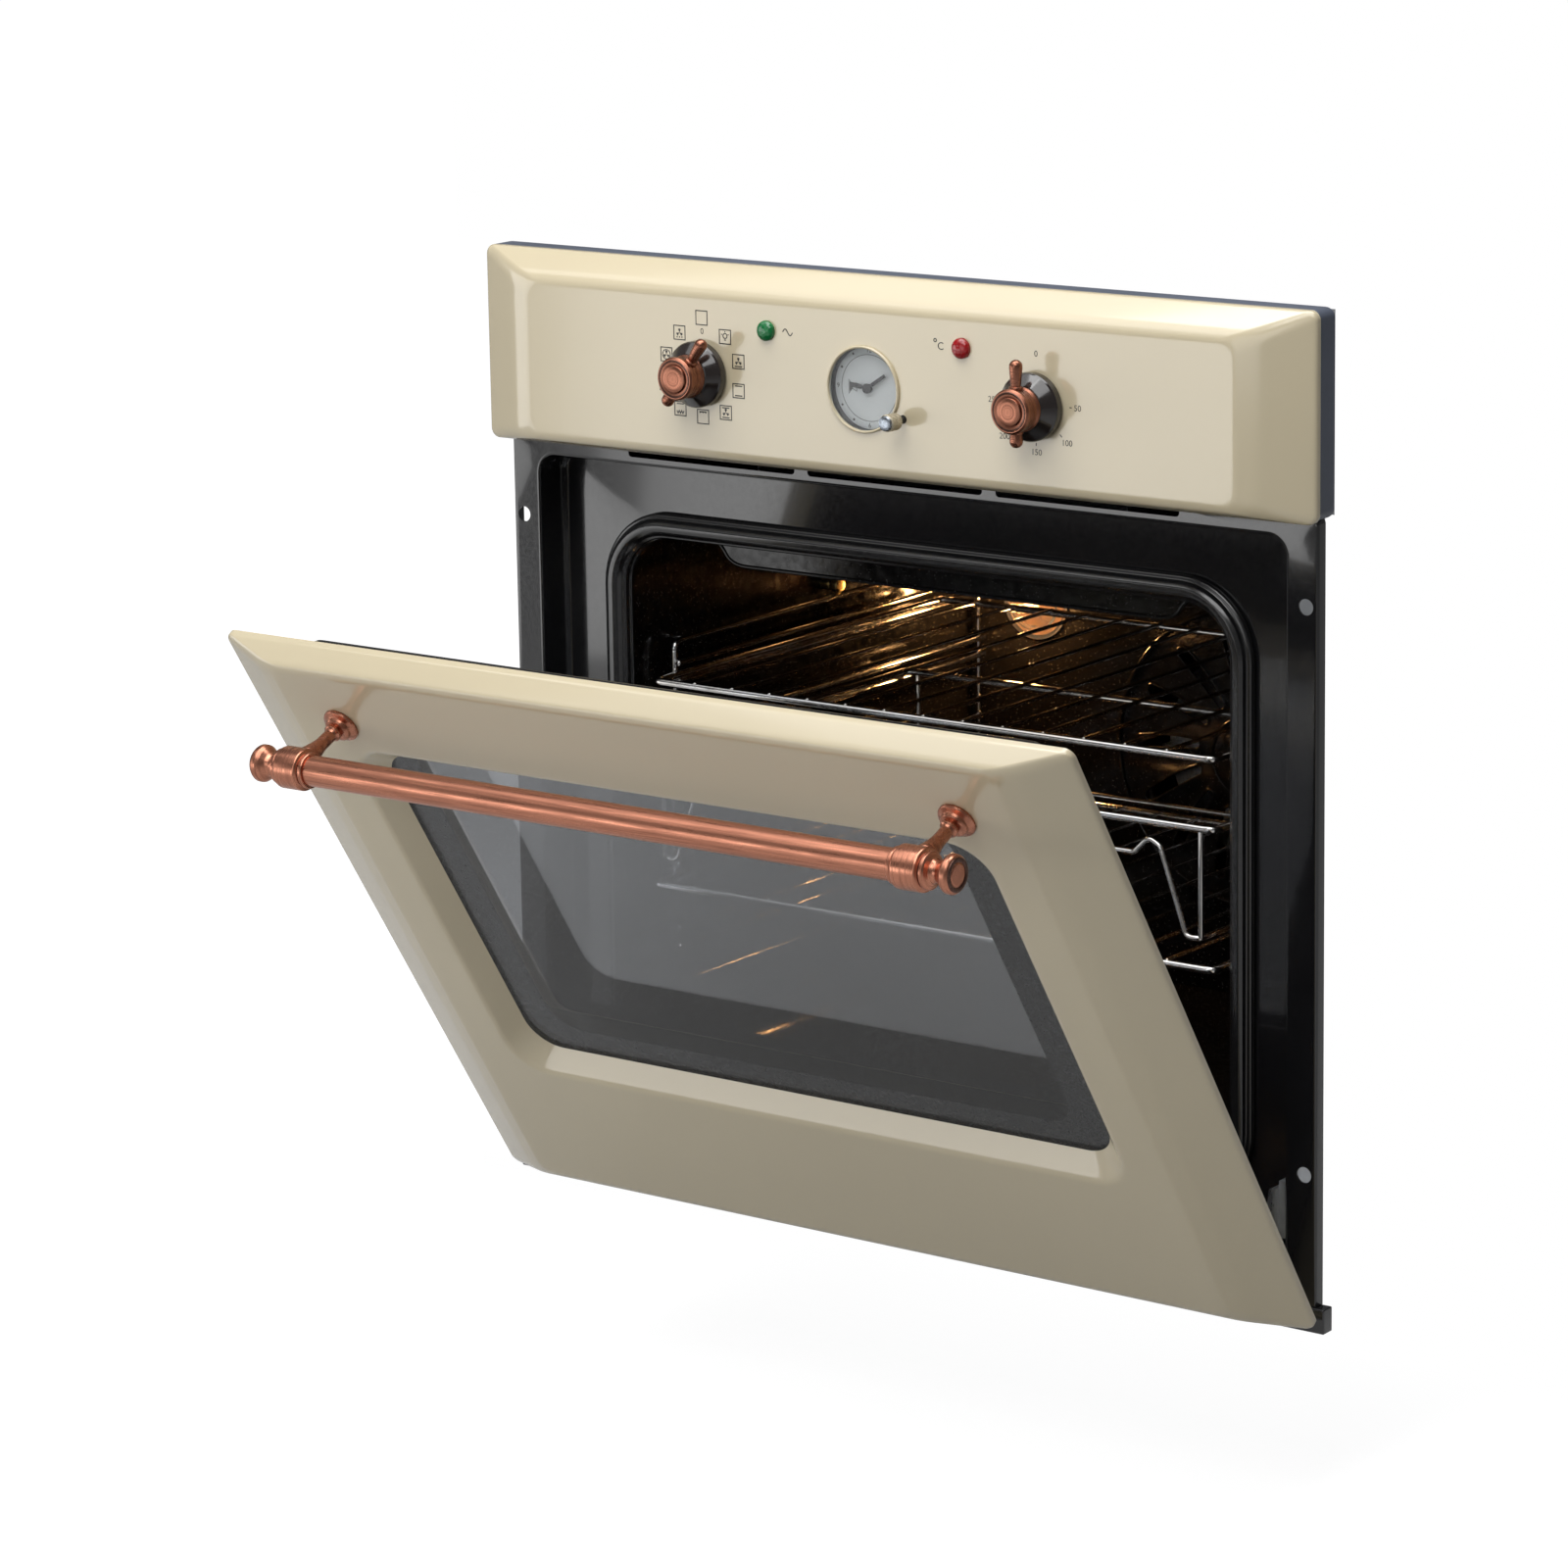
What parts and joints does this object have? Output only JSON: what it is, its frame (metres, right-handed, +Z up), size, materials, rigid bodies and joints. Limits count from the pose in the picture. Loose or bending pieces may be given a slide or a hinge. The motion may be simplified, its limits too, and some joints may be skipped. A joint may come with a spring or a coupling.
{
  "type": "built-in oven",
  "caption": "Built-in electric oven with a tilting glazed door on a bar handle, two lever knobs, an analogue clock, signal lamps, wire shelves, convection fan and casing.",
  "frame": {"origin": "middle of the casing's underside, halfway between the flange's seat and the casing's back", "axes": "+X to the right seen from the front, +Y from the door towards the back, +Z up"},
  "size_m": [0.595, 0.8733, 0.595],
  "materials": {
    "black_enamel": "gloss",
    "dark_enamel": "satin",
    "cream_enamel": "gloss",
    "zinc_sheet": "satin",
    "oven_enamel": "gloss",
    "glass_wool": "matte",
    "black_rubber": "satin",
    "plain_steel": "satin",
    "heater_steel": "matte",
    "pale_ceramic": "matte",
    "lamp_glass": "gloss",
    "chromed_wire": "polished",
    "brass_nut": "satin",
    "green_lens": "gloss",
    "red_lens": "gloss",
    "black_gloss": "gloss",
    "copper": "brushed",
    "dark_plastic": "satin",
    "champagne": "gloss",
    "dial_grey": "matte",
    "clear_glass": "gloss",
    "tinted_glass": "gloss",
    "pale_plastic": "matte"
  },
  "bodies": {
    "casing": {"front_frame": "black_enamel", "base_trim": "black_enamel", "panel_box": "dark_enamel", "control_panel": "cream_enamel", "casing_sides": "zinc_sheet", "casing_top": "zinc_sheet", "casing_back": "zinc_sheet", "casing_base": "zinc_sheet", "casing_screws": "zinc_sheet", "cavity": "oven_enamel", "insulation": "glass_wool", "door_seal": "black_rubber", "ceiling_lip": "oven_enamel", "fan_cover": "oven_enamel", "fan_motor": "zinc_sheet", "ring_heater": "heater_steel", "grill_element": "heater_steel", "floor_element": "heater_steel", "lamp_housing": "pale_ceramic", "lamp_lens": "lamp_glass", "side_racks": "chromed_wire", "rack_nuts": "brass_nut", "green_lamp": "green_lens", "red_lamp": "red_lens", "selector_switch": "pale_ceramic", "thermostat": "zinc_sheet", "clock_case": "dark_plastic", "clock_bezel": "champagne", "clock_dial": "dial_grey", "clock_glass": "clear_glass", "blower_housing": "zinc_sheet", "blower_motor": "zinc_sheet", "terminal_box": "pale_plastic", "hinge_receivers": "zinc_sheet", "hinge_hooks": "plain_steel"},
    "door": {"hinge_casings": "plain_steel", "door_springs": "plain_steel", "door_skin": "cream_enamel", "outer_glass": "tinted_glass", "inner_glass": "clear_glass", "door_pan": "black_enamel", "handle_bar": "copper", "handle_ends": "copper", "handle_posts": "copper", "handle_feet": "copper"},
    "spring_rods": {"spring_rods": "plain_steel"},
    "selector_knob": {"selector_skirt": "black_gloss", "selector_grip": "copper", "selector_cap": "copper"},
    "thermostat_knob": {"thermostat_skirt": "black_gloss", "thermostat_grip": "copper", "thermostat_cap": "copper"},
    "clock_setter": {"setting_knob": "champagne"},
    "minute_hand": {"minute_hand": "dark_plastic"},
    "hour_hand": {"hour_hand": "dark_plastic"},
    "upper_shelf": {"upper_shelf": "chromed_wire"},
    "tray_frame": {"tray_frame": "chromed_wire"},
    "lower_shelf": {"lower_shelf": "chromed_wire"},
    "fan_wheel": {"fan_wheel": "plain_steel"},
    "blower_wheel": {"blower_wheel": "plain_steel"}
  },
  "joints": [
    {"name": "door_hinge", "type": "hinge", "parent": "casing", "child": "door", "pos_m": [0, -0.285, 0.011], "axis": [1, 0, 0], "range_deg": [-33, 57]},
    {"name": "spring_rod_slide", "type": "slide", "parent": "door", "child": "spring_rods", "axis": [0, 0.5446, -0.8387], "range_m": [-0.0076, 0.0127]},
    {"name": "selector_turn", "type": "hinge", "parent": "casing", "child": "selector_knob", "pos_m": [-0.12, -0.307, 0.53], "axis": [0, 1, 0], "range_deg": [-36, 288]},
    {"name": "thermostat_turn", "type": "hinge", "parent": "casing", "child": "thermostat_knob", "pos_m": [0.12, -0.307, 0.53], "axis": [0, 1, 0], "range_deg": [0, 270]},
    {"name": "clock_setting", "type": "hinge", "parent": "casing", "child": "clock_setter", "pos_m": [0.028, -0.307, 0.5145], "axis": [0, 1, 0], "continuous": true},
    {"name": "minute_turn", "type": "hinge", "parent": "casing", "child": "minute_hand", "pos_m": [0, -0.301, 0.53], "axis": [0, 1, 0], "continuous": true},
    {"name": "hour_turn", "type": "hinge", "parent": "casing", "child": "hour_hand", "pos_m": [0, -0.301, 0.53], "axis": [0, 1, 0], "continuous": true},
    {"name": "upper_shelf_slide", "type": "slide", "parent": "casing", "child": "upper_shelf", "axis": [0, -1, 0], "range_m": [0, 0.19]},
    {"name": "tray_frame_slide", "type": "slide", "parent": "casing", "child": "tray_frame", "axis": [0, -1, 0], "range_m": [0, 0.12]},
    {"name": "lower_shelf_slide", "type": "slide", "parent": "casing", "child": "lower_shelf", "axis": [0, -1, 0], "range_m": [0, 0.105]},
    {"name": "fan_spin", "type": "hinge", "parent": "casing", "child": "fan_wheel", "pos_m": [0, 0.14, 0.226], "axis": [0, 1, 0], "continuous": true},
    {"name": "blower_spin", "type": "hinge", "parent": "casing", "child": "blower_wheel", "pos_m": [0, -0.166, 0.505], "axis": [1, 0, 0], "continuous": true}
  ],
  "couplings": [
    {"joint": "spring_rod_slide", "follows": "door_hinge", "m_per_rad": 0.0127},
    {"joint": "minute_turn", "follows": "clock_setting", "ratio": 1},
    {"joint": "hour_turn", "follows": "clock_setting", "ratio": 0.083333}
  ]
}
